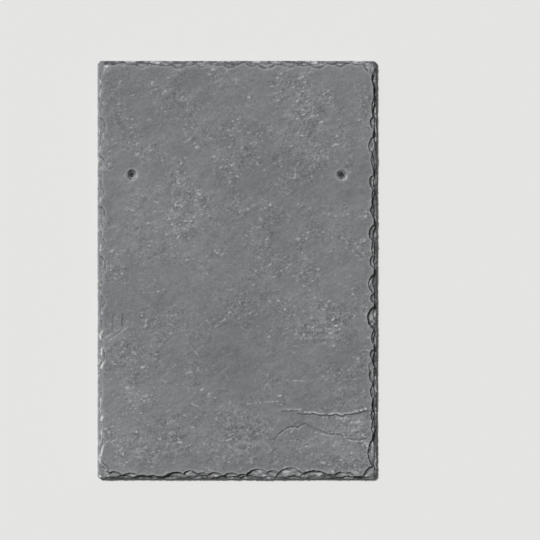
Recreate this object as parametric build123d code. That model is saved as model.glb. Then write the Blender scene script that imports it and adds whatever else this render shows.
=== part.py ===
from build123d import *
import math
import os

# A natural roofing slate for double-lap roofs: one flat piece of split stone.
# Lengths are in millimetres and angles in degrees.
# X runs across the slate, +Y from the exposed tail to the covered head, and +Z out of the weather face.
# The origin is at the middle of the flat back, which lies on Z = 0.

# The stock size.
WIDTH = 305.0
LENGTH = 457.0
THICKNESS = 9.5
CORNER_RADIUS = 4.5

# The dressed edge, from the back up: a square land with a crumbled arris, a narrow ledge, and a steep bevel.
# Heights are from the back, and reaches are from the outline.
LAND_HEIGHT = 3.5
ARRIS_HEIGHT = 5.0
ARRIS_REACH = 0.9
LEDGE_HEIGHT = 5.2
LEDGE_REACH = 2.0
BEVEL_REACH = 3.9
BEVEL_CORNER_RADIUS = 6.0

# Flakes broken out of the bevel when the edge was dressed. Slate splits along its layers, so each flake
# leaves a nearly flat floor that falls outwards, and a short steep wall behind it. The knife works along
# the edge, so the floors also fall a little that way.
FLAKE_WALL_LEAN = 20.0
FLAKE_FALL = 10.0
FLAKE_SKEW = 15.0

# Flakes that show on the laid slate: place along the edge, width across the mouth, bite past the bevel, and
# drop of the floor below the weather face. The tail's places run from its left corner, and the sides' run
# up from the tail.
TAIL_FLAKES = [
    (18.5, 16.2, 6.1, 1.7),
    (36.5, 18.7, 4.4, 1.6),
    (49.5, 21.4, 2.3, 3.8),
    (60.5, 9.4, 1.8, 3.0),
    (86.6, 23.4, 5.4, 3.1),
    (101.8, 17.3, 6.8, 1.8),
    (114.9, 17.0, 4.3, 1.6),
    (128.0, 17.4, 5.1, 1.8),
    (147.0, 19.3, 4.3, 1.4),
    (159.0, 13.1, 2.9, 2.2),
    (175.3, 25.8, 8.7, 1.9),
    (192.2, 24.0, 6.8, 1.3),
    (210.7, 30.7, 9.8, 1.8),
    (236.9, 32.6, 7.3, 2.6),
    (252.6, 20.6, 2.9, 2.2),
    (265.7, 15.8, 5.1, 1.6),
    (275.0, 11.6, 4.5, 1.4),
]
RIGHT_FLAKES = [
    (29.9, 31.3, 7.0, 1.7),
    (55.4, 8.3, 2.8, 1.8),
    (60.9, 6.7, 2.5, 1.8),
    (69.7, 13.6, 3.8, 1.8),
    (96.4, 16.0, 4.0, 1.8),
    (113.8, 16.0, 5.6, 1.9),
    (123.0, 12.0, 5.9, 0.8),
    (136.7, 9.9, 4.5, 1.7),
    (155.2, 15.1, 3.0, 1.8),
    (177.0, 23.7, 7.4, 2.9),
]
LEFT_FLAKES = [
    (40.0, 24.4, 3.7, 1.7),
    (55.0, 12.3, 1.7, 1.6),
    (71.5, 13.7, 2.7, 1.8),
    (90.0, 13.0, 1.6, 1.4),
    (111.5, 12.6, 1.8, 1.7),
    (134.5, 25.3, 5.3, 2.4),
    (147.5, 14.2, 3.5, 1.8),
    (165.5, 16.5, 2.7, 1.9),
    (180.0, 13.4, 1.7, 1.4),
]
CORNER_FLAKE = (0.0, 28.0, 12.6, 1.8)

# Flakes on the covered part of the sides, and along the head, are set out by rule.
COVERED_START = 196.0
COVERED_MARGIN = 34.0
COVERED_PITCH = 19.0
COVERED_FLAKE_WIDTH = 18.0
COVERED_FLAKE_BITE = 4.4
COVERED_FLAKE_DROP = 1.8

# Lower flakes widen the ledge unevenly.
LEDGE_MARGIN = 15.0
LEDGE_PITCH = 17.0
LEDGE_FLAKE_WIDTH = 17.0
LEDGE_FLAKE_BITE = 1.9
LEDGE_FLAKE_DROP = 4.2

# How far flakes differ from one another, as shares of the pitch, the size, the drop and the fall.
PLACE_UNEVENNESS = 0.24
SIZE_UNEVENNESS = 0.45
DROP_UNEVENNESS = 0.12
FALL_UNEVENNESS = 0.3

# Nail holes, punched from the back, so that the stone spalls away round the hole on the weather face.
NAIL_HOLE_DIAMETER = 4.5
NAIL_INSET_FROM_SIDE = 38.0
NAIL_INSET_FROM_HEAD = 125.0
SPALL_DIAMETER = 12.5
SPALL_DEPTH = 3.2

GOLDEN_RATIO = (math.sqrt(5) - 1) / 2


def uneven(index, seed):
    """A number from -1 to 1 that differs from one flake to the next."""
    return 2 * (((index + 1) * GOLDEN_RATIO + seed) % 1) - 1


def outline(inset, radius):
    """The slate's rectangle, drawn in from its real outline all round."""
    return RectangleRounded(WIDTH - 2 * inset, LENGTH - 2 * inset, radius)


def plain_slate():
    """The stone with its land, ledge and bevel, before any flake is broken out."""
    back = outline(0, CORNER_RADIUS)
    steps = [
        Pos(Z=LAND_HEIGHT) * back,
        Pos(Z=ARRIS_HEIGHT) * outline(ARRIS_REACH, CORNER_RADIUS),
        Pos(Z=LEDGE_HEIGHT) * outline(LEDGE_REACH, CORNER_RADIUS),
        Pos(Z=THICKNESS) * outline(BEVEL_REACH, BEVEL_CORNER_RADIUS),
    ]
    return extrude(back, LAND_HEIGHT) + loft(steps, ruled=True)


def flake(mouth, inward, size, fall, skew):
    """What a flake takes away: a leaning cone, whose round side makes the scalloped wall.

    mouth is the point of the back's outline below the flake, and inward points from there over the slate.
    """
    _, width, bite, drop = size
    slope = math.radians(fall)
    bevel_lean = (BEVEL_REACH - LEDGE_REACH) / (THICKNESS - LEDGE_HEIGHT)
    reach = BEVEL_REACH - drop * bevel_lean + bite
    radius = (width**2 / 4 + bite**2) / (2 * bite)
    downhill = inward.rotate(Axis.Z, 180 - skew)
    floor_down = downhill * math.cos(slope) + Vector(0, 0, -math.sin(slope))
    floor_normal = downhill * math.sin(slope) + Vector(0, 0, math.cos(slope))
    floor_middle = THICKNESS - drop - radius * math.tan(slope) * math.cos(math.radians(skew))
    middle = mouth + inward * (reach - radius) + Vector(0, 0, floor_middle)
    height = (drop + 2 * reach * math.tan(slope)) / math.cos(slope)
    top_radius = radius + height * math.tan(math.radians(FLAKE_WALL_LEAN + fall))
    cone = Cone(radius, top_radius, height, align=(Align.CENTER, Align.CENTER, Align.MIN))
    return Plane(origin=middle, x_dir=floor_down, z_dir=floor_normal) * cone


def edge_flakes(start, along, inward, sizes, seed):
    """Every flake of one edge, from their places along it and their sizes. No two fall just alike."""
    return [
        flake(
            start + along * size[0],
            inward,
            size,
            FLAKE_FALL * (1 + FALL_UNEVENNESS * uneven(index, seed)),
            FLAKE_SKEW * (1 + uneven(index, seed + 0.4)),
        )
        for index, size in enumerate(sizes)
    ]


def ruled_flakes(first, last, pitch, width, bite, drop, seed):
    """The sizes of flakes set out by rule along an edge, from one place to another."""
    return [
        (
            first + (index + PLACE_UNEVENNESS * uneven(index, seed)) * pitch,
            width * (1 + SIZE_UNEVENNESS * uneven(index, seed + 0.3)),
            bite * (1 + SIZE_UNEVENNESS * uneven(index, seed + 0.6)),
            drop * (1 + DROP_UNEVENNESS * uneven(index, seed + 0.8)),
        )
        for index in range(int((last - first) // pitch) + 1)
    ]


def covered_flakes(first, length, seed):
    """Upper flakes on the covered part of an edge, stopping short of its corner."""
    size = (COVERED_FLAKE_WIDTH, COVERED_FLAKE_BITE, COVERED_FLAKE_DROP)
    return ruled_flakes(first, length - COVERED_MARGIN, COVERED_PITCH, *size, seed)


def ledge_flakes(length, seed):
    """Lower flakes between the two corners of an edge."""
    size = (LEDGE_FLAKE_WIDTH, LEDGE_FLAKE_BITE, LEDGE_FLAKE_DROP)
    return ruled_flakes(LEDGE_MARGIN, length - LEDGE_MARGIN, LEDGE_PITCH, *size, seed)


def dress(stone):
    """Breaks the flakes out of all four edges and the corners."""
    across, along = Vector(1, 0, 0), Vector(0, 1, 0)
    tail_left, tail_right, head_left, head_right = (
        Vector(side * WIDTH / 2, end * LENGTH / 2, 0) for end in (-1, 1) for side in (-1, 1)
    )
    edges = [
        (tail_left, across, along, WIDTH, TAIL_FLAKES),
        (tail_right, along, across * -1, LENGTH, RIGHT_FLAKES + covered_flakes(COVERED_START, LENGTH, 0.1)),
        (tail_left, along, across, LENGTH, LEFT_FLAKES + covered_flakes(COVERED_START, LENGTH, 0.5)),
        (head_left, across, along * -1, WIDTH, covered_flakes(COVERED_MARGIN, WIDTH, 0.8)),
    ]
    for number, (start, along_edge, inward, length, sizes) in enumerate(edges):
        seed = 0.23 * number
        upper = edge_flakes(start, along_edge, inward, sizes, seed)
        lower = edge_flakes(start, along_edge, inward, ledge_flakes(length, seed), seed)
        # Neighbours overlap, so every third one is broken out together.
        for turn in range(3):
            stone -= upper[turn::3]
            stone -= lower[turn::3]
    for number, corner in enumerate((tail_left, tail_right, head_left, head_right)):
        inward = Vector(-math.copysign(1, corner.X), -math.copysign(1, corner.Y), 0).normalized()
        fall = FLAKE_FALL * (1 + FALL_UNEVENNESS * uneven(number, 0))
        stone -= flake(corner, inward, CORNER_FLAKE, fall, 0)
    return stone


def punch(stone):
    """Makes the two nail holes, each with the spall round it on the weather face."""
    hole_radius = NAIL_HOLE_DIAMETER / 2
    from_below = (Align.CENTER, Align.CENTER, Align.MIN)
    hole = Cylinder(hole_radius, THICKNESS, align=from_below)
    mouth = Cone(hole_radius, SPALL_DIAMETER / 2, SPALL_DEPTH, align=from_below)
    spall = Pos(Z=THICKNESS - SPALL_DEPTH) * mouth
    for side in (-1, 1):
        place = Pos(side * (WIDTH / 2 - NAIL_INSET_FROM_SIDE), LENGTH / 2 - NAIL_INSET_FROM_HEAD)
        stone -= place * (hole + spall)
    return stone


slate = punch(dress(plain_slate()))

os.makedirs("parts", exist_ok=True)
export_step(slate, "parts/slate.step")
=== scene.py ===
import math

import bmesh
import bpy
import numpy as np
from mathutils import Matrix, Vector
from mathutils.bvhtree import BVHTree
from mathutils.geometry import delaunay_2d_cdt
from mathutils.kdtree import KDTree


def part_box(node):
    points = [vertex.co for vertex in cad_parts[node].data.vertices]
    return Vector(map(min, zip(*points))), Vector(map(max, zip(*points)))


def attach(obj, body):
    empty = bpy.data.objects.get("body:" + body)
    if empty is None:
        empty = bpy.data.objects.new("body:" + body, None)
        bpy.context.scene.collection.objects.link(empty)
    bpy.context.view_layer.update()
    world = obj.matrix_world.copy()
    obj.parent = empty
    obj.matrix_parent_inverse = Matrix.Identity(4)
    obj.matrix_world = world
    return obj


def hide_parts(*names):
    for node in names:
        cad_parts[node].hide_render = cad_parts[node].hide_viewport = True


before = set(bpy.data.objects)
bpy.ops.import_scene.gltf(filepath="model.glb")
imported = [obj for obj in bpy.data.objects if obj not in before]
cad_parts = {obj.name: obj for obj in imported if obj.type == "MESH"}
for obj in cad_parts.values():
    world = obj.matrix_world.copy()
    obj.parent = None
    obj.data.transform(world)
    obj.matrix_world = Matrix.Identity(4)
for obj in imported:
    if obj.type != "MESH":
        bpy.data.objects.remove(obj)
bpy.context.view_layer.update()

# The slate's blank
# A roofing slate is one flat piece of stone, split to its thickness with a broad chisel. Its edges are
# dressed with a knife, which breaks a chipped bevel out of the weather face. The blank has that shape before
# any grain: a fine sheet over the face and bevel, a short upright wall, and a coarser sheet for the back.
MM = 0.001
FINE_STEP = 0.85 * MM
SHARP_EDGE_STEP = 1.6 * FINE_STEP
BACK_STEP = 5.0 * MM
WALL_ROWS = 4
# The sheet is finer in a band along the edge and round each mark.
EDGE_BAND = 9.0 * MM
MARK_BAND = 2.5 * MM
# How far its points are shaken off their grid, as shares of a step: in those bands, and elsewhere.
CLOSE_SHAKE = 0.25
OPEN_SHAKE = 0.5
# Points nearer to each other than this become one, and the sheet's own points keep clear of the rim.
CLOSEST_POINTS = 0.1 * MM
CLEAR_OF_RIM = 0.35 * MM
SAME_POINT = 0.001 * MM
# A face belongs to the weather side if its normal rises this much, and an edge is sharp past this angle.
LEAST_RISE = 0.02
SHARP_EDGE = math.radians(15)

slate_low, slate_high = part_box("slate")
FACE_HEIGHT = slate_high.z

packed_slate = bmesh.new()
packed_slate.from_mesh(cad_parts["slate"].data)
bmesh.ops.remove_doubles(packed_slate, verts=packed_slate.verts, dist=SAME_POINT)
packed_slate.normal_update()
packed_surface = BVHTree.FromBMesh(packed_slate)


def surface_at(x, y):
    """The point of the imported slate's weather side at a place, or None off the slate and in a nail hole."""
    high_above, down = Vector((x, y, 1)), Vector((0, 0, -1))
    return packed_surface.ray_cast(high_above, down)[0]


def faces_up(face):
    """Whether a face belongs to the weather side."""
    return face.normal.z > LEAST_RISE


def lines_between(edges, step):
    """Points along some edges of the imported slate, at most a step apart, and each pair of neighbours."""
    points, pairs, number_of = [], [], {}
    for edge in edges:
        for vert in edge.verts:
            if vert not in number_of:
                number_of[vert] = len(points)
                points.append(vert.co.copy())
        start, end = edge.verts
        parts = math.ceil(edge.calc_length() / step)
        between = range(len(points), len(points) + parts - 1)
        points += [start.co.lerp(end.co, part / parts) for part in range(1, parts)]
        chain = [number_of[start], *between, number_of[end]]
        pairs += zip(chain, chain[1:])
    return points, pairs


def triangles_over(points, pairs):
    """Joins points by triangles as seen from above, with an edge along each pair, but not over a hole.

    Points that all but touch become one. Where two pairs cross, the point between them is added to the list.
    """
    flat = [Vector((point[0], point[1])) for point in points]
    places, _, triangles, sources, _, _ = delaunay_2d_cdt(flat, pairs, [], 0, CLOSEST_POINTS)
    numbers = [source[0] if source else None for source in sources]
    for number, place in enumerate(places):
        if numbers[number] is None:
            numbers[number] = len(points)
            nearest = packed_surface.find_nearest(Vector((place.x, place.y, FACE_HEIGHT)))[0]
            points.append(surface_at(place.x, place.y) or nearest)
    kept_triangles = []
    for triangle in triangles:
        middle = sum((places[corner] for corner in triangle), Vector((0, 0))) / 3
        if surface_at(middle.x, middle.y):
            kept_triangles.append([numbers[corner] for corner in triangle])
    return kept_triangles


def inset(x, y):
    """How far a place lies in from the slate's straight sides."""
    across = np.minimum(x - slate_low.x, slate_high.x - x)
    along = np.minimum(y - slate_low.y, slate_high.y - y)
    return np.minimum(across, along)


# Marks on the weather face, as points in millimetres from the tail's left corner. A crack is a dark hairline
# that winds over the face, and each has a strength. The shelf is where a thin layer has come away.
CRACKS = [
    (0.45, [(184.5, 40.0), (190.8, 43.5), (195.0, 44.5), (198.0, 49.2)]),
    (
        0.9,
        [
            (198.0, 49.2), (202.5, 53.2), (207.4, 56.5), (213.0, 57.7),
            (219.6, 57.2), (222.9, 59.8), (227.0, 61.0),
        ],
    ),
    (0.65, [(227.0, 61.0), (232.0, 58.1), (236.8, 55.3), (242.6, 53.7), (245.9, 52.3)]),
    (0.55, [(245.9, 52.3), (251.6, 50.0), (257.3, 49.1), (261.4, 49.5), (267.2, 47.9)]),
    (0.6, [(269.0, 44.6), (277.9, 43.4), (286.0, 43.0), (294.2, 45.4)]),
    (0.6, [(202.0, 74.2), (210.0, 74.6), (219.0, 74.9)]),
    (0.9, [(254.4, 70.0), (253.6, 67.2)]),
    (1.0, [(3.6, 20.2), (7.0, 17.6), (10.6, 14.6), (13.4, 11.0)]),
    (0.8, [(4.9, 173.2), (5.2, 171.2)]),
    (0.8, [(6.0, 155.8), (6.3, 154.0)]),
    (0.8, [(7.1, 142.0), (7.4, 140.4)]),
    (0.8, [(6.0, 44.6), (6.2, 42.6)]),
    (0.75, [(28.4, 180.0), (28.0, 174.2), (27.0, 170.6), (27.4, 168.0)]),
    (0.4, [(18.5, 180.2), (17.0, 173.0), (16.8, 163.0)]),
    (0.25, [(130.4, 97.0), (136.0, 96.6), (142.0, 95.8)]),
    (0.3, [(137.2, 50.6), (141.6, 50.6)]),
    (0.25, [(247.6, 152.3), (252.6, 146.0)]),
]
SHELF = [
    (219.0, 72.6), (224.6, 71.4), (229.0, 72.1), (237.0, 72.1), (242.0, 70.5), (249.4, 70.4), (254.0, 70.0),
    (259.8, 72.0), (264.0, 70.3), (267.4, 69.3), (270.6, 71.1), (278.8, 71.7), (285.4, 73.0), (294.4, 75.0),
]
CRACK_HALF_WIDTH = 1.2
SHELF_LENGTH = 16.0 * MM
SHELF_ENDS = 9.0 * MM
# A line of painted shade lies this far below the shelf's step, this strong, and is cut in like a crack.
SHELF_SHADE_DROP = 0.5
SHELF_SHADE_STRENGTH = 0.75

# Pale scratches and bruises, each with a strength, a half width and its points. Those within 10 mm of the
# left side are painted highlights on its broken edge, which faces the key light.
SCRATCHES_AND_GLINTS = [
    (0.6, 0.9, [(163.7, 82.8), (168.0, 83.0)]),
    (0.6, 0.9, [(172.0, 83.4), (178.5, 84.0)]),
    (0.6, 0.9, [(182.0, 84.6), (185.5, 84.6), (197.9, 85.3)]),
    (0.7, 1.1, [(102.4, 83.3), (110.4, 79.8)]),
    (1.0, 1.4, [(196.2, 19.4), (196.3, 19.6)]),
    (0.8, 1.2, [(157.9, 51.5), (158.0, 51.6)]),
    (0.8, 1.2, [(100.8, 37.8), (100.9, 37.9)]),
    (0.8, 1.2, [(108.7, 68.2), (108.8, 68.3)]),
    (0.7, 1.1, [(56.5, 86.7), (56.6, 86.8)]),
    (0.7, 1.2, [(41.4, 130.4), (41.5, 130.5)]),
    (0.7, 1.2, [(43.2, 144.0), (43.3, 144.1)]),
    (0.5, 1.2, [(107.0, 139.4), (110.0, 135.7)]),
    (0.7, 1.2, [(95.8, 120.3), (95.9, 120.4)]),
    (0.9, 1.3, [(122.0, 93.5), (123.2, 94.2)]),
    (0.7, 1.1, [(113.0, 97.6), (116.5, 99.4)]),
    (0.4, 1.1, [(216.7, 157.4), (216.8, 162.8)]),
    (0.6, 1.0, [(45.8, 72.3), (48.5, 72.3)]),
    (0.7, 0.8, [(213.9, 107.3), (225.9, 107.3)]),
    (0.9, 0.9, [(286.4, 140.8), (296.2, 140.8)]),
    (0.8, 1.1, [(290.1, 135.8), (290.2, 135.9)]),
    (0.8, 1.1, [(295.4, 132.7), (295.5, 132.8)]),
    (0.7, 0.9, [(293.6, 154.6), (297.0, 154.6)]),
    (0.5, 1.1, [(289.0, 95.0), (291.8, 97.6)]),
    (0.8, 1.3, [(233.9, 176.6), (234.0, 176.7)]),
    (0.8, 1.3, [(245.8, 176.0), (245.9, 176.1)]),
    (0.8, 1.2, [(262.0, 176.0), (262.1, 176.1)]),
    (0.6, 1.2, [(279.0, 176.0), (281.6, 179.0)]),
    (0.35, 1.1, [(230.5, 167.3), (237.7, 161.3)]),
    (0.7, 1.1, [(254.0, 160.3), (254.1, 160.4)]),
    (0.5, 1.2, [(33.5, 166.1), (24.0, 158.0), (12.2, 150.8)]),
    (0.4, 1.0, [(198.0, 48.0), (202.8, 51.7), (207.6, 54.9), (213.0, 56.0), (219.6, 55.6), (223.2, 58.0)]),
    (0.5, 1.8, [(203.0, 76.6), (222.0, 76.6)]),
    (0.8, 1.5, [(226.0, 73.4), (237.0, 73.4), (242.0, 72.0), (254.0, 71.4), (262.0, 73.0), (268.0, 70.9)]),
    (0.7, 1.6, [(268.0, 70.9), (278.8, 73.2), (285.4, 75.0)]),
    (1.0, 1.9, [(284.0, 75.2), (287.5, 75.6), (293.4, 77.0)]),
    (0.6, 1.6, [(262.0, 67.6), (267.0, 66.8), (274.0, 66.0)]),
    (0.5, 1.5, [(279.0, 62.0), (288.0, 63.2)]),
    (0.6, 1.4, [(272.0, 43.6), (280.0, 41.6), (294.0, 42.8)]),
    (0.5, 1.4, [(238.0, 51.8), (247.0, 49.2), (258.0, 47.2)]),
    (1.0, 2.4, [(2.6, 2.8), (2.7, 3.0)]),
    (1.0, 1.5, [(6.1, 162.4), (4.8, 159.4)]),
    (1.0, 1.7, [(3.7, 156.0), (3.3, 153.0)]),
    (0.9, 1.3, [(6.9, 144.6), (6.3, 142.6)]),
    (0.7, 1.3, [(4.4, 142.0), (4.6, 136.0)]),
    (1.0, 1.8, [(8.6, 129.6), (5.6, 124.6), (4.0, 121.6)]),
    (1.0, 1.9, [(5.9, 67.8), (4.6, 65.2)]),
    (0.8, 1.4, [(4.7, 54.0), (4.5, 50.4)]),
    (1.0, 1.6, [(7.2, 37.0), (5.6, 32.0), (4.2, 27.1)]),
    (0.35, 1.3, [(24.0, 163.0), (16.0, 158.6), (9.0, 155.0)]),
]

# Weathering: broad soft patches that are paler or darker than the rest, and one band of painted shade. Each
# has a change of tone, a middle and a reach.
WEATHERED_AND_SHADE = [
    (0.10, (20, 60), (45, 90)),
    (0.07, (70, 20), (80, 35)),
    (0.06, (270, 15), (55, 35)),
    (-0.05, (150, 18), (170, 13)),
    # This band is painted shade, darker across the face just below where the course above would lie.
    (-0.04, (150, 180), (170, 18)),
    (0.08, (282, 58), (26, 17)),
    (-0.08, (150, 150), (60, 60)),
    (-0.05, (190, 100), (70, 40)),
    (-0.05, (275, 120), (40, 30)),
    (0.06, (240, 168), (30, 20)),
    (0.06, (95, 60), (32, 16)),
    (0.07, (140, 36), (36, 14)),
    (0.20, (265, 38), (42, 15)),
    (0.11, (22, 38), (25, 14)),
    (0.08, (60, 300), (80, 70)),
    (-0.07, (200, 330), (80, 80)),
    (0.07, (250, 420), (60, 50)),
    (-0.06, (90, 420), (70, 40)),
]
# Where the face is rougher and more flecked, or smoother.
ROUGH_PATCHES = [
    (1.6, (282, 56), (30, 18)),
    (1.3, (240, 166), (44, 24)),
    (-0.9, (160, 130), (60, 45)),
    (0.3, (118, 92), (28, 16)),
    (0.5, (25, 150), (28, 35)),
    (0.7, (270, 20), (50, 22)),
    (0.6, (170, 62), (40, 22)),
    (0.8, (60, 45), (70, 35)),
    (0.9, (160, 38), (60, 20)),
    (0.6, (90, 290), (60, 45)),
    (0.7, (230, 390), (50, 50)),
]


def on_slate(x, y):
    """A place on the weather face, in metres, from millimetres in from the tail's left corner."""
    return slate_low.x + x * MM, slate_low.y + y * MM


def distance_to(x, y, line):
    """How far each place is from a line through some points."""
    nearest = np.full(len(x), np.inf)
    corners = [on_slate(*point) for point in line]
    for (x1, y1), (x2, y2) in zip(corners, corners[1:]):
        dx, dy = x2 - x1, y2 - y1
        along = np.clip(((x - x1) * dx + (y - y1) * dy) / (dx * dx + dy * dy), 0, 1)
        nearest = np.minimum(nearest, np.hypot(x - x1 - along * dx, y - y1 - along * dy))
    return nearest


def patches_at(x, y, patches):
    """The sum of some soft round patches at each place. A patch has all but faded out at its reach."""
    total = np.zeros(len(x))
    for amount, middle, (reach_x, reach_y) in patches:
        middle_x, middle_y = on_slate(*middle)
        away = np.hypot((x - middle_x) / (reach_x * MM), (y - middle_y) / (reach_y * MM))
        total += amount * np.exp(-2 * away**2)
    return total


# The sheet's points stand two steps apart on the plain face, and one step apart in the bands.
chance = np.random.default_rng(seed=7)
columns, rows = np.meshgrid(
    np.arange(math.ceil((slate_high.x - slate_low.x) / FINE_STEP)),
    np.arange(math.ceil((slate_high.y - slate_low.y) / FINE_STEP)),
)
columns, rows = columns.ravel(), rows.ravel()
fine_x = slate_low.x + (columns + 0.5) * FINE_STEP
fine_y = slate_low.y + (rows + 0.5) * FINE_STEP
marked = [SHELF, *(line for *_, line in CRACKS), *(line for *_, line in SCRATCHES_AND_GLINTS)]
near_mark = np.min([distance_to(fine_x, fine_y, line) for line in marked], axis=0) < MARK_BAND
in_band = near_mark | (inset(fine_x, fine_y) < EDGE_BAND)
on_coarse = (columns % 2 == 0) & (rows % 2 == 0)
wanted = in_band | on_coarse
shake = np.where(in_band, CLOSE_SHAKE, OPEN_SHAKE)[wanted] * FINE_STEP
fine_x = fine_x[wanted] + chance.uniform(-1, 1, wanted.sum()) * shake
fine_y = fine_y[wanted] + chance.uniform(-1, 1, wanted.sum()) * shake

rim_and_chips = [
    edge
    for edge in packed_slate.edges
    if any(map(faces_up, edge.link_faces))
    and (not all(map(faces_up, edge.link_faces)) or edge.calc_face_angle() > SHARP_EDGE)
]
points, pairs = lines_between(rim_and_chips, SHARP_EDGE_STEP)
sharp_points = list(points)
# A row of points follows each mark, unless part of the mark is off the slate.
for line in marked:
    corners = [Vector(on_slate(*corner)) for corner in line]
    steps = [max(1, round((end - start).length / FINE_STEP)) for start, end in zip(corners, corners[1:])]
    track = [
        start.lerp(end, step / count)
        for start, end, count in zip(corners, corners[1:], steps)
        for step in range(count)
    ]
    track = [surface_at(spot.x, spot.y) for spot in [*track, corners[-1]]]
    if all(track):
        numbers = range(len(points), len(points) + len(track))
        pairs += zip(numbers, numbers[1:])
        points += track
clear = inset(fine_x, fine_y) > CLEAR_OF_RIM
for x, y in zip(fine_x[clear], fine_y[clear]):
    found = surface_at(x, y)
    if found:
        points.append(found)
sheet_triangles = triangles_over(points, pairs)

# The sheet, with points that became one with another left out. face_share is 1 on it, and falls to 0 down
# the wall.
blank = bmesh.new()
face_share = blank.verts.layers.float.new("face_share")
sheet = [blank.verts.new(point) for point in points]
for vert in sheet:
    vert[face_share] = 1
for triangle in sheet_triangles:
    blank.faces.new([sheet[corner] for corner in triangle])
for vert in sheet:
    if not vert.link_faces:
        blank.verts.remove(vert)

# The wall goes down from the sheet's rim, and from the rims of the nail holes, a row at a time.
rim = [edge.link_loops[0] for edge in blank.edges if edge.is_boundary]
rim = [(side.link_loop_next.vert, side.vert) for side in rim]
for rows_left in range(WALL_ROWS, 0, -1):
    under = {}
    for vert in dict.fromkeys(vert for ends in rim for vert in ends):
        under[vert] = blank.verts.new((vert.co.x, vert.co.y, vert.co.z * (rows_left - 1) / rows_left))
        under[vert][face_share] = (rows_left - 1) / WALL_ROWS
    for start, end in rim:
        blank.faces.new((start, end, under[end], under[start]))
    rim = [(under[start], under[end]) for start, end in rim]

# The back is joined to the foot of the wall.
back_verts = sorted(under.values(), key=lambda vert: (vert.co.x, vert.co.y))
back_number = {vert: number for number, vert in enumerate(back_verts)}
back_pairs = [(back_number[start], back_number[end]) for start, end in rim]
back_x, back_y = np.meshgrid(
    np.arange(slate_low.x + BACK_STEP, slate_high.x - BACK_STEP / 2, BACK_STEP),
    np.arange(slate_low.y + BACK_STEP, slate_high.y - BACK_STEP / 2, BACK_STEP),
)
back_verts += [
    blank.verts.new((x, y, 0)) for x, y in zip(back_x.ravel(), back_y.ravel()) if surface_at(x, y)
]
for triangle in triangles_over([vert.co for vert in back_verts], back_pairs):
    blank.faces.new([back_verts[corner] for corner in reversed(triangle)])
bmesh.ops.recalc_face_normals(blank, faces=blank.faces)

blank_mesh = bpy.data.meshes.new("slate_blank")
blank.to_mesh(blank_mesh)
blank.free()
packed_slate.free()

# What each point of the blank is part of. The riven stone and its look read these by name.
SHELF_LIP = 0.3 * MM
# How deep a point lies below the face where the stone is broken, from hardly to fully.
BROKEN_DEPTHS = (0.02 * MM, 0.5 * MM)
ON_FACE_DEPTH = 0.05 * MM
ON_BACK_HEIGHT = 0.01 * MM
# The left edge faces the key light and is painted with highlights, its rim most of all. These are where each
# fades out, in from the edge. All round, a pale highlight is painted on the face just inside its broken edge.
LIT_LEFT_EDGE_FADE = (5 * MM, 9 * MM)
LEFT_RIM_HIGHLIGHT_FADE = (1.2 * MM, 2.8 * MM)
FACE_EDGE_HIGHLIGHT_FADE = (0.8 * MM, 3.0 * MM)
# The streaks of a broken edge run along it, and turn over this stretch at each corner.
CORNER_TURN = (-3 * MM, 3 * MM)
# Shade is painted at the foot of each deep chip's wall: how far out from the top of the wall it reaches, and
# how deep the chip must be.
FOOT_SHADE_FADE = (1.8 * MM, 4.0 * MM)
FOOT_SHADE_DEPTHS = (0.6 * MM, 1.6 * MM)
# It lies along the foot of the bevel as well, where the sharp edges stand between these heights.
FOOT_HEIGHTS = (5.1 * MM, 6.8 * MM)
FOOT_FADE = (0.4 * MM, 1.5 * MM)

blank_places = np.zeros(len(blank_mesh.vertices) * 3)
blank_mesh.vertices.foreach_get("co", blank_places)
place_x, place_y, place_z = blank_places.reshape(-1, 3).T
depth = FACE_HEIGHT - place_z
upper_half = place_z > FACE_HEIGHT / 2


def soft(value, low, high):
    """Rises smoothly from 0 at low to 1 at high."""
    part = np.clip((value - low) / (high - low), 0, 1)
    return part * part * (3 - 2 * part)


def store(name, values):
    """Keeps one number for each of the blank's points under a name."""
    layer = blank_mesh.attributes.new(name, "FLOAT", "POINT")
    layer.data.foreach_set("value", values.astype(np.float32))


def drawn(lines):
    """How strongly each point lies on a line. Each line has a strength, a half width and its points."""
    strongest = np.zeros(len(place_x))
    for strength, half_width, line in lines:
        on_line = 1 - soft(distance_to(place_x, place_y, line), 0, half_width * MM)
        strongest = np.maximum(strongest, strength * on_line)
    return strongest * upper_half


def distance_to_edges(lowest, highest):
    """How far each point is, in plan, from the sharp edges between two heights."""
    among = [point for point in sharp_points if lowest < point.z < highest]
    finder = KDTree(len(among))
    for number, point in enumerate(among):
        finder.insert((point.x, point.y, 0), number)
    finder.balance()
    return np.array([finder.find((x, y, 0))[2] for x, y in zip(place_x, place_y)])


# The dark line under the shelf's step is painted shade, cut in and darkened like a crack.
shelf_shade_line = [(x, y - SHELF_SHADE_DROP) for x, y in SHELF]
dark_lines = [*CRACKS, (SHELF_SHADE_STRENGTH, shelf_shade_line)]
store("crack_and_shelf_shade", drawn([(strength, CRACK_HALF_WIDTH, line) for strength, line in dark_lines]))
store("scratch_and_glint", drawn(SCRATCHES_AND_GLINTS))
store("weathered_and_shade", patches_at(place_x, place_y, WEATHERED_AND_SHADE))
store("rough_patch", patches_at(place_x, place_y, ROUGH_PATCHES))

shelf_x, shelf_y = np.array([on_slate(*point) for point in SHELF]).T
below = np.interp(place_x, shelf_x, shelf_y) - place_y
within = soft(place_x, shelf_x[0], shelf_x[0] + SHELF_ENDS)
fallen = soft(below, -SHELF_LIP, SHELF_LIP) * (1 - soft(below, 0, SHELF_LENGTH))
store("shelf", fallen * within)

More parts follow.
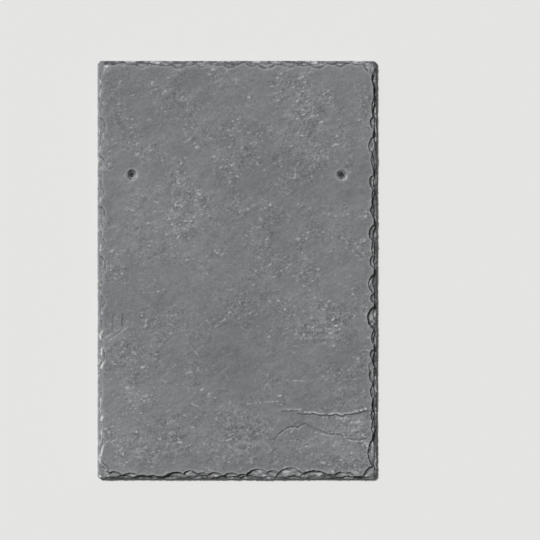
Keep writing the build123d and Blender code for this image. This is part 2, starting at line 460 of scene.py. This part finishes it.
store("broken", soft(depth, *BROKEN_DEPTHS) * (place_z > ON_BACK_HEIGHT))
to_side = np.minimum(place_x - slate_low.x, slate_high.x - place_x)
to_end = np.minimum(place_y - slate_low.y, slate_high.y - place_y)
store("side", soft(to_end - to_side, *CORNER_TURN))
store("lit_left_edge", 1 - soft(place_x - slate_low.x, *LIT_LEFT_EDGE_FADE))
store("left_rim_highlight", 1 - soft(place_x - slate_low.x, *LEFT_RIM_HIGHLIGHT_FADE))

to_face_edge = distance_to_edges(FACE_HEIGHT - ON_FACE_DEPTH, np.inf)
to_foot = distance_to_edges(*FOOT_HEIGHTS)
below_lip = soft(depth, *FOOT_SHADE_DEPTHS) * (1 - soft(to_face_edge, *FOOT_SHADE_FADE))
along_foot = (1 - soft(to_foot, *FOOT_FADE)) * (depth > FOOT_SHADE_DEPTHS[0])
store("face_edge_highlight", (depth < ON_FACE_DEPTH) * (1 - soft(to_face_edge, *FACE_EDGE_HIGHLIGHT_FADE)))
store("foot_shade", np.maximum(below_lip, along_foot) * upper_half)

# The riven stone
# Slate splits along its layers, and leaves a gently uneven face with a grain that leans one way. Where the
# edge is broken, the layers stand out as fine steps. The tree cuts all of this into the blank, and never
# goes outside it.
RIVEN_SIZES = {
    "Undulation": 0.30 * MM,
    "Swell": 0.30 * MM,
    "Grain": 0.45 * MM,
    "Layer Step": 0.13 * MM,
    "Relief Start": 0.88 * MM,
    "Crack Depth": 0.50 * MM,
    "Shelf Depth": 0.75 * MM,
    "Bruise Height": 0.25 * MM,
    "Chip Wander": 1.5 * MM,
    "Chip Raggedness": 1.5 * MM,
    "Broken Roughness": 0.45 * MM,
    "Strata": 0.45 * MM,
    "Bed Height": 0.75 * MM,
}
GRAIN_LEAN = 28
# How many layers the whole range of their pattern is cut into, and the part of each that is a rise.
LAYER_COUNT = 11.0
LAYER_RISE = 0.25
BACK_SHARE = 0.4
# Terraces are cut where the broken stone faces up, from hardly to fully. Each bed's rise takes the middle of
# its height, and the beds' lines sway by up to about a bed.
FACING_UP = (0.6, 0.9)
BED_RISE = (0.35, 0.62)
BED_SWAY = 1.6
# How many times wider than high the unevenness of the broken stone is.
STRATA_FLATNESS = 18
# Edges that turn less than this are shaded smooth, and the arrises end just above the back.
SMOOTH_UNDER = math.radians(38)
OFF_BACK_SHARE = 0.01


def add_node(tree, kind, inputs=None, **settings):
    """Adds a node. Each input takes a plain value, or the output of another node that it is linked to."""
    node = tree.nodes.new(kind)
    for name, value in settings.items():
        setattr(node, name, value)
    for name, value in (inputs or {}).items():
        if isinstance(value, bpy.types.NodeSocket):
            tree.links.new(value, node.inputs[name])
        else:
            node.inputs[name].default_value = value
    return node


def maths(tree, operation, *values):
    """One step of arithmetic on numbers."""
    return add_node(tree, "ShaderNodeMath", dict(enumerate(values)), operation=operation).outputs[0]


def vector_maths(tree, operation, *values):
    """One step of arithmetic on vectors."""
    return add_node(tree, "ShaderNodeVectorMath", dict(enumerate(values)), operation=operation).outputs[0]


def total(tree, first, *others):
    """Some numbers added together."""
    for other in others:
        first = maths(tree, "ADD", first, other)
    return first


def product(tree, first, *others):
    """Some numbers multiplied together."""
    for other in others:
        first = maths(tree, "MULTIPLY", first, other)
    return first


def scaled(tree, vector, size):
    """A vector or colour multiplied by a number."""
    return add_node(tree, "ShaderNodeVectorMath", {0: vector, "Scale": size}, operation="SCALE").outputs[0]


def height_of(tree, vector):
    """The upward part of a vector."""
    return add_node(tree, "ShaderNodeSeparateXYZ", {"Vector": vector}).outputs["Z"]


def upward(tree, size):
    """A vector of some size that points straight up."""
    return add_node(tree, "ShaderNodeCombineXYZ", {"Z": size}).outputs[0]


def ramp(tree, value, low, high, at_low=0.0, at_high=1.0):
    """Goes smoothly from one value to another while an input goes from low to high."""
    inputs = {"Value": value, "From Min": low, "From Max": high, "To Min": at_low, "To Max": at_high}
    return add_node(tree, "ShaderNodeMapRange", inputs, interpolation_type="SMOOTHSTEP").outputs[0]


def mottle(tree, place, wavelength, seed, detail=2.0, roughness=0.5, colour=False):
    """A soft chance pattern about 0.5, with patches of about a wavelength."""
    inputs = {
        "Vector": place,
        "W": float(seed),
        "Scale": 1 / wavelength,
        "Detail": detail,
        "Roughness": roughness,
    }
    node = add_node(tree, "ShaderNodeTexNoise", inputs, noise_dimensions="4D")
    return node.outputs["Color" if colour else "Fac"]


def leaning(tree, place, angle, stretch):
    """The place turned so that a pattern on it runs along a lean, and is drawn out that many times."""
    inputs = {"Vector": place, "Axis": (0, 0, 1), "Angle": -math.radians(angle)}
    turned = add_node(tree, "ShaderNodeVectorRotate", inputs, rotation_type="AXIS_ANGLE").outputs[0]
    return vector_maths(tree, "MULTIPLY", turned, (1 / stretch, 1, 1))


riven = bpy.data.node_groups.new("riven_stone", "GeometryNodeTree")
riven.interface.new_socket("Geometry", in_out="OUTPUT", socket_type="NodeSocketGeometry")
riven.interface.new_socket("Blank", in_out="INPUT", socket_type="NodeSocketGeometry")
for size_name in RIVEN_SIZES:
    riven.interface.new_socket(size_name, in_out="INPUT", socket_type="NodeSocketFloat")
riven.interface.new_socket("Stone", in_out="INPUT", socket_type="NodeSocketMaterial")
given = riven.nodes.new("NodeGroupInput").outputs


def kept(name):
    """A number that the blank keeps for each of its points."""
    return add_node(riven, "GeometryNodeInputNamedAttribute", {"Name": name}, data_type="FLOAT").outputs[0]


place = riven.nodes.new("GeometryNodeInputPosition").outputs[0]
normal = riven.nodes.new("GeometryNodeInputNormal").outputs[0]
broken = kept("broken")
on_face = kept("face_share")

# The relief of the split faces goes down from the blank. Its highest parts stay level with the blank.
undulation = mottle(riven, place, wavelength=95 * MM, seed=1, detail=1)
swell = mottle(riven, leaning(riven, place, angle=20, stretch=1.7), wavelength=24 * MM, seed=2)
with_the_grain = leaning(riven, place, angle=GRAIN_LEAN, stretch=1.8)
grain = mottle(riven, with_the_grain, wavelength=6 * MM, seed=3, detail=3, roughness=0.6)
layer_place = leaning(riven, place, angle=10, stretch=1.8)
layers = mottle(riven, layer_place, wavelength=60 * MM, seed=4, detail=4, roughness=0.55)
layers = product(riven, layers, LAYER_COUNT)
layer_rise = ramp(riven, maths(riven, "FRACT", layers), low=0.0, high=LAYER_RISE)
layer_steps = total(riven, maths(riven, "FLOOR", layers), layer_rise)
relief = total(
    riven,
    product(riven, undulation, given["Undulation"]),
    product(riven, swell, given["Swell"]),
    product(riven, grain, given["Grain"]),
    product(riven, layer_steps, given["Layer Step"]),
)
relief = maths(riven, "MAXIMUM", maths(riven, "SUBTRACT", relief, given["Relief Start"]), 0.0)

# Cracks and the shelf go down further, and bruises stand up a little. The back has a share of the relief.
crack_and_shelf_shade = product(riven, kept("crack_and_shelf_shade"), given["Crack Depth"])
shelf = product(riven, kept("shelf"), given["Shelf Depth"])
bruise = product(riven, kept("scratch_and_glint"), given["Bruise Height"])
marks = maths(riven, "SUBTRACT", total(riven, crack_and_shelf_shade, shelf), bruise)
lowered = product(riven, total(riven, relief, marks), on_face)
raised = product(riven, relief, BACK_SHARE, maths(riven, "SUBTRACT", 1.0, on_face))
rise = upward(riven, maths(riven, "SUBTRACT", raised, lowered))


def strayed(wavelength, seed, detail, size):
    """A sideways shift that sways along the slate, by about half a size each way."""
    sway = mottle(riven, place, wavelength, seed, detail, roughness=0.6, colour=True)
    sway = vector_maths(riven, "SUBTRACT", sway, (0.5, 0.5, 0.5))
    return scaled(riven, vector_maths(riven, "MULTIPLY", sway, (1, 1, 0)), size)


# The chips' lips wander, and are ragged as well.
wandered = vector_maths(
    riven,
    "ADD",
    strayed(wavelength=8 * MM, seed=5, detail=3, size=given["Chip Wander"]),
    strayed(wavelength=3.5 * MM, seed=28, detail=1, size=given["Chip Raggedness"]),
)

# Each broken floor goes down in small terraces, a bed of the stone at a time.
facing_up = ramp(riven, height_of(riven, normal), *FACING_UP)
bed_sway = product(riven, mottle(riven, place, wavelength=11 * MM, seed=8, detail=3, roughness=0.6), BED_SWAY)
beds_passed = total(riven, maths(riven, "DIVIDE", height_of(riven, place), given["Bed Height"]), bed_sway)
part_way = maths(riven, "FRACT", beds_passed)
terrace = maths(riven, "SUBTRACT", ramp(riven, part_way, *BED_RISE), part_way)
terraced = upward(riven, product(riven, terrace, given["Bed Height"], broken, facing_up))

# The broken stone is uneven along its layers, and crumbled.
flattened = vector_maths(riven, "MULTIPLY", place, (1, 1, STRATA_FLATNESS))
strata = maths(riven, "SUBTRACT", mottle(riven, flattened, wavelength=16 * MM, seed=6), 0.5)
crumble = maths(riven, "SUBTRACT", mottle(riven, place, wavelength=2.6 * MM, seed=7), 0.5)
strata = product(riven, strata, given["Strata"])
crumble = product(riven, crumble, given["Broken Roughness"])
roughened = scaled(riven, normal, product(riven, total(riven, strata, crumble), broken))

# Each point's share is evened out with its neighbours', so that the surface doesn't fold at a sharp edge.
worked = add_node(
    riven,
    "GeometryNodeBlurAttribute",
    {"Value": vector_maths(riven, "ADD", roughened, terraced), "Iterations": 1},
    data_type="FLOAT_VECTOR",
).outputs[0]

moved = vector_maths(riven, "ADD", vector_maths(riven, "ADD", rise, wandered), worked)
placed = vector_maths(riven, "ADD", place, moved)
inside = vector_maths(riven, "MINIMUM", vector_maths(riven, "MAXIMUM", placed, slate_low), slate_high)
cut = add_node(riven, "GeometryNodeSetPosition", {"Geometry": given["Blank"], "Position": inside}).outputs[0]
edge_angle = riven.nodes.new("GeometryNodeInputMeshEdgeAngle").outputs
smooth = maths(riven, "LESS_THAN", edge_angle["Unsigned Angle"], SMOOTH_UNDER)
shading = {"Geometry": cut, "Selection": smooth}
measured = add_node(riven, "GeometryNodeSetShadeSmooth", shading, domain="EDGE").outputs[0]

# The look needs to know how sharply the finished stone turns at each point, and how far up it faces.
off_back = maths(riven, "GREATER_THAN", on_face, OFF_BACK_SHARE)
arris = product(riven, edge_angle["Signed Angle"], off_back)
finished_normal = riven.nodes.new("GeometryNodeInputNormal").outputs[0]
for name, value in (("arris", arris), ("upright", height_of(riven, finished_normal))):
    measured = add_node(
        riven,
        "GeometryNodeStoreNamedAttribute",
        {"Geometry": measured, "Name": name, "Value": value},
        data_type="FLOAT",
        domain="POINT",
    ).outputs[0]
real = add_node(riven, "GeometryNodeRealizeInstances", {"Geometry": measured}).outputs[0]
of_stone = {"Geometry": real, "Material": given["Stone"]}
finished = add_node(riven, "GeometryNodeSetMaterial", of_stone).outputs[0]
add_node(riven, "NodeGroupOutput", {0: finished})

# The stone's look
# The slate is mid grey stone, matt to low sheen. It is paler where it has weathered, flecked in patches,
# streaked along its grain, dark in the cracks, and pale on fresh breaks. Shade is painted on its broken
# walls and hollows, and highlights on its left edge, its arrises and the rim of its face.
STONE_GREY = (0.196, 0.2, 0.207)
# These colours paint the stone's own marks, and also its painted highlights and shade.
PALE_STONE_AND_HIGHLIGHT = (0.42, 0.425, 0.43)
DARK_STONE_AND_SHADE = (0.045, 0.046, 0.048)
FRESH_STONE_AND_HIGHLIGHT = (0.52, 0.525, 0.53)
HIGHLIGHT_STONE = (0.68, 0.685, 0.69)
TONE = 0.895
STRENGTHS = {
    "flecks": 0.72,
    "pits": 0.22,
    "face edge highlight": 0.15,
    "chipped": 0.30,
    "glints": 0.9,
    "left rim highlight": 0.35,
    "left_wall_glints": 0.8,
}
BED_FLATNESS = 20
# The land, the upright wall at the slate's foot, gets the least painted shade. It ends between the first two
# heights, and the ledge above it ends between the other two.
ABOVE_LAND = (2.6 * MM, 3.8 * MM)
ABOVE_LEDGE = (5.0 * MM, 6.2 * MM)
BUMP_HEIGHT = 0.34 * MM

stone = bpy.data.materials.new("slate_stone")
stone.use_nodes = True
look = stone.node_tree
look.nodes.clear()
spot = look.nodes.new("ShaderNodeTexCoord").outputs["Object"]


def mark(name):
    """A number that the finished slate keeps for each of its points."""
    return add_node(look, "ShaderNodeAttribute", attribute_name=name).outputs["Fac"]


def painted(under, colour, *amounts):
    """A colour laid over another, as strongly as some amounts multiplied together."""
    mix = look.nodes.new("ShaderNodeMix")
    mix.data_type = "RGBA"
    factor, first, second = mix.inputs[0], mix.inputs[6], mix.inputs[7]
    look.links.new(product(look, *amounts), factor)
    look.links.new(under, first)
    second.default_value = (*colour, 1)
    return mix.outputs[2]


def swing(wavelength, seed, amount, stretch=1.0, lean=GRAIN_LEAN):
    """A chance change of tone, up and down by an amount."""
    where = spot if stretch == 1.0 else leaning(look, spot, lean, stretch)
    return product(look, maths(look, "SUBTRACT", mottle(look, where, wavelength, seed), 0.5), amount)


# The plain face: its tone, with streaks in the rough patches, and pale flecks and dark pits in patches.
patchy = ramp(look, mottle(look, spot, wavelength=24 * MM, seed=15), 0.40, 0.62, at_low=0.25, at_high=1.2)
patchy = maths(look, "MAXIMUM", total(look, patchy, mark("rough_patch")), 0.0)
fineness = ramp(look, patchy, 0.2, 2.0, at_low=0.50, at_high=1.65)
broad_tone = total(
    look,
    mark("weathered_and_shade"),
    TONE,
    swing(wavelength=45 * MM, seed=11, amount=0.20),
    swing(wavelength=14 * MM, seed=12, amount=0.38, stretch=1.6),
)
fine_tone = total(
    look,
    swing(wavelength=4.5 * MM, seed=13, amount=0.60, stretch=2.5),
    swing(wavelength=2.2 * MM, seed=14, amount=1.1),
)
streaks = swing(wavelength=5 * MM, seed=20, amount=1.1, stretch=3.5, lean=7)
streaky = maths(look, "MAXIMUM", mark("rough_patch"), 0.0)
tone = total(look, broad_tone, product(look, fine_tone, fineness), product(look, streaks, streaky))
body = scaled(look, STONE_GREY, tone)
fleck_place = leaning(look, spot, angle=20, stretch=1.6)
flecks = ramp(look, mottle(look, fleck_place, wavelength=2.8 * MM, seed=16, roughness=0.6), 0.57, 0.72)
body = painted(body, PALE_STONE_AND_HIGHLIGHT, flecks, patchy, STRENGTHS["flecks"])
pit_place = leaning(look, spot, angle=15, stretch=1.8)
pits = ramp(look, mottle(look, pit_place, wavelength=3.2 * MM, seed=17, roughness=0.6), 0.62, 0.74)
body = painted(body, DARK_STONE_AND_SHADE, pits, patchy, STRENGTHS["pits"])

# The marks on the face.
bruised = ramp(look, mottle(look, spot, wavelength=2.2 * MM, seed=24, detail=1), 0.36, 0.56)
body = painted(body, FRESH_STONE_AND_HIGHLIGHT, mark("scratch_and_glint"), bruised)
hairline = mottle(look, spot, wavelength=4 * MM, seed=26, detail=1)
hairline = ramp(look, hairline, 0.38, 0.52, at_low=0.55, at_high=0.90)
# Dark in the cracks, and along the shelf's step as painted shade.
body = painted(body, DARK_STONE_AND_SHADE, mark("crack_and_shelf_shade"), hairline)
# A pale highlight is painted on the face just inside its broken edge.
body = painted(body, FRESH_STONE_AND_HIGHLIGHT, mark("face_edge_highlight"), STRENGTHS["face edge highlight"])

# The broken edge away from the left side: paler stone, with streaks where its beds crop out, painted dark
# as shade and bright as glints.
elsewhere = maths(look, "SUBTRACT", 1.0, mark("lit_left_edge"))
chipped = product(look, mark("broken"), elsewhere)
body = painted(body, PALE_STONE_AND_HIGHLIGHT, chipped, STRENGTHS["chipped"])
side_place = leaning(look, spot, angle=90, stretch=3.0)
end_place = leaning(look, spot, angle=0, stretch=3.0)
along_sides = mottle(look, side_place, wavelength=3.2 * MM, seed=18)
along_ends = mottle(look, end_place, wavelength=3.2 * MM, seed=18)
turned = product(look, maths(look, "SUBTRACT", along_sides, along_ends), mark("side"))
outcrop = total(look, along_ends, turned)
shaded_beds = ramp(look, outcrop, 0.34, 0.45, at_low=0.45, at_high=0.0)
body = painted(body, DARK_STONE_AND_SHADE, shaded_beds, chipped)
body = painted(body, FRESH_STONE_AND_HIGHLIGHT, ramp(look, outcrop, 0.51, 0.60), chipped, STRENGTHS["glints"])

# Its steep walls are painted dark as shade, a bed at a time, with more painted shade at their foot, and the
# ledge is darker in patches.
beds = vector_maths(look, "MULTIPLY", spot, (1, 1, BED_FLATNESS))
beds = mottle(look, beds, wavelength=14 * MM, seed=19, detail=3, roughness=0.6)
steep = product(look, ramp(look, mark("upright"), 0.55, 0.95, at_low=1.0, at_high=0.0), mark("broken"))
level = height_of(look, spot)
above_land = ramp(look, level, *ABOVE_LAND)
darkest = ramp(look, above_land, 0.0, 1.0, at_low=0.15, at_high=0.72)
wall_shade_beds = ramp(look, beds, 0.42, 0.60, at_low=0.25, at_high=1.0)
body = painted(body, DARK_STONE_AND_SHADE, wall_shade_beds, darkest, steep, elsewhere)
foot_shade = mottle(look, spot, wavelength=6 * MM, seed=27)
foot_shade = ramp(look, foot_shade, 0.35, 0.60, at_low=0.35, at_high=0.75)
# Painted shade at the foot of the chips' walls and of the bevel.
body = painted(body, DARK_STONE_AND_SHADE, foot_shade, mark("foot_shade"), elsewhere)
# The ledge is darker in patches.
ledge_darkening = ramp(look, mottle(look, spot, wavelength=6 * MM, seed=29), 0.42, 0.56, at_low=0.0, at_high=0.78)
on_ledge = ramp(look, level, *ABOVE_LEDGE, at_low=1.0, at_high=0.0)
body = painted(body, DARK_STONE_AND_SHADE, ledge_darkening, on_ledge, above_land, chipped)

# The left edge, which faces the key light: a painted highlight on its rim, painted glints where the
# scratches say, and more by chance on its steep walls.
body = painted(body, PALE_STONE_AND_HIGHLIGHT, mark("left_rim_highlight"), mark("broken"), STRENGTHS["left rim highlight"])
body = painted(body, HIGHLIGHT_STONE, mark("scratch_and_glint"), mark("lit_left_edge"))
left_wall_glints = ramp(look, mottle(look, spot, wavelength=9 * MM, seed=25, detail=1), 0.48, 0.60)
body = painted(body, HIGHLIGHT_STONE, left_wall_glints, steep, above_land, mark("lit_left_edge"), STRENGTHS["left_wall_glints"])

# Arrises are painted pale as highlights, and hollows painted dark as shade.
body = painted(body, PALE_STONE_AND_HIGHLIGHT, ramp(look, mark("arris"), 0.10, 0.45, at_low=0.0, at_high=0.60))
body = painted(body, DARK_STONE_AND_SHADE, ramp(look, mark("arris"), -0.45, -0.10, at_low=0.70, at_high=0.0))

fine_bump = total(
    look,
    mottle(look, spot, wavelength=1.6 * MM, seed=21),
    mottle(look, spot, wavelength=3.6 * MM, seed=22),
)
bump_inputs = {"Height": product(look, fine_bump, fineness), "Distance": BUMP_HEIGHT, "Strength": 1.0}
bump = add_node(look, "ShaderNodeBump", bump_inputs).outputs[0]
sheen = ramp(look, mottle(look, spot, wavelength=12 * MM, seed=23), 0.35, 0.65, at_low=0.58, at_high=0.72)
surface = add_node(look, "ShaderNodeBsdfPrincipled", {"Base Color": body, "Roughness": sheen, "Normal": bump})
surface.inputs["Specular IOR Level"].default_value = 0.4
add_node(look, "ShaderNodeOutputMaterial", {"Surface": surface.outputs[0]})

# The tree cuts the blank, and its result is the finished slate.
slate_tile = bpy.data.objects.new("slate_tile", blank_mesh)
bpy.context.scene.collection.objects.link(slate_tile)
cutting = slate_tile.modifiers.new("riven_stone", "NODES")
cutting.node_group = riven
for socket in riven.interface.items_tree:
    if socket.name in RIVEN_SIZES:
        cutting[socket.identifier] = RIVEN_SIZES[socket.name]
    elif socket.name == "Stone":
        cutting[socket.identifier] = stone
evaluated = slate_tile.evaluated_get(bpy.context.evaluated_depsgraph_get())
finished_mesh = bpy.data.meshes.new_from_object(evaluated)
finished_mesh.name = "slate_tile"
slate_tile.modifiers.remove(cutting)
slate_tile.data = finished_mesh

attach(slate_tile, "root")
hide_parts("slate")

# The floor
# A plain pale floor for the slate to lie on. The stone is lit as if the floor were darker, so that the
# chips keep their shade.
FLOOR_REACH = 4
FLOOR_SEEN = (0.78, 0.78, 0.77)
FLOOR_LIT = (0.25, 0.25, 0.25)

floor_mesh = bpy.data.meshes.new("floor")
floor_corners = [(x * FLOOR_REACH, y * FLOOR_REACH, 0) for x, y in ((-1, -1), (1, -1), (1, 1), (-1, 1))]
floor_mesh.from_pydata(floor_corners, [], [(0, 1, 2, 3)])
floor = bpy.data.objects.new("floor", floor_mesh)
bpy.context.scene.collection.objects.link(floor)
floor_paint = bpy.data.materials.new("floor_paint")
floor_paint.use_nodes = True
paint = floor_paint.node_tree
paint_surface = paint.nodes["Principled BSDF"]
seen = paint.nodes.new("ShaderNodeLightPath").outputs["Is Camera Ray"]
floor_colour = paint.nodes.new("ShaderNodeMix")
floor_colour.data_type = "RGBA"
paint.links.new(seen, floor_colour.inputs[0])
floor_colour.inputs[6].default_value = (*FLOOR_LIT, 1)
floor_colour.inputs[7].default_value = (*FLOOR_SEEN, 1)
paint.links.new(floor_colour.outputs[2], paint_surface.inputs["Base Color"])
paint_surface.inputs["Roughness"].default_value = 0.9
paint_surface.inputs["Specular IOR Level"].default_value = 0.0
floor_mesh.materials.append(floor_paint)

# Camera and light
# The camera looks straight down with the slate's head at the top, as the photograph shows it, and the
# soft key light comes from beyond the upper left corner.
FRAME_PIXELS = 540
SLATE_PIXELS = 280
SLATE_CENTRE_PIXEL = 237
PIXEL = (slate_high.x - slate_low.x) / SLATE_PIXELS
camera_data = bpy.data.cameras.new("camera")
camera_data.lens = 135
camera_data.sensor_width = 36
distance = FRAME_PIXELS * PIXEL / camera_data.sensor_width * camera_data.lens
camera = bpy.data.objects.new("camera", camera_data)
camera.location = ((FRAME_PIXELS / 2 - SLATE_CENTRE_PIXEL) * PIXEL, 0, FACE_HEIGHT + distance)
bpy.context.scene.collection.objects.link(camera)
bpy.context.scene.camera = camera

# The key and the sky together light a flat white surface just to white.
SKY_LEVEL = 0.16
KEY_HEIGHT = math.radians(47)
KEY_SIDE = math.radians(45)
KEY_SOFTNESS = math.radians(10)
KEY_LEVEL = (1 - SKY_LEVEL) * math.pi / math.sin(KEY_HEIGHT)
key_data = bpy.data.lights.new("key", "SUN")
key_data.energy = KEY_LEVEL
key_data.angle = KEY_SOFTNESS
key = bpy.data.objects.new("key", key_data)
key.rotation_euler = (math.pi / 2 - KEY_HEIGHT, 0, math.pi + KEY_SIDE)
bpy.context.scene.collection.objects.link(key)

BACKDROP_LEVEL = 0.86
world = bpy.data.worlds.new("studio")
bpy.context.scene.world = world
world.use_nodes = True
air = world.node_tree
ambient = air.nodes["Background"]
ambient.inputs["Color"].default_value = (1, 1, 1, 1)
ambient.inputs["Strength"].default_value = SKY_LEVEL
backdrop = air.nodes.new("ShaderNodeBackground")
backdrop.inputs["Color"].default_value = (BACKDROP_LEVEL, BACKDROP_LEVEL, BACKDROP_LEVEL, 1)
choose = air.nodes.new("ShaderNodeMixShader")
air.links.new(air.nodes.new("ShaderNodeLightPath").outputs["Is Camera Ray"], choose.inputs[0])
air.links.new(ambient.outputs[0], choose.inputs[1])
air.links.new(backdrop.outputs[0], choose.inputs[2])
air.links.new(choose.outputs[0], air.nodes["World Output"].inputs["Surface"])

bpy.context.scene.view_settings.view_transform = "Standard"
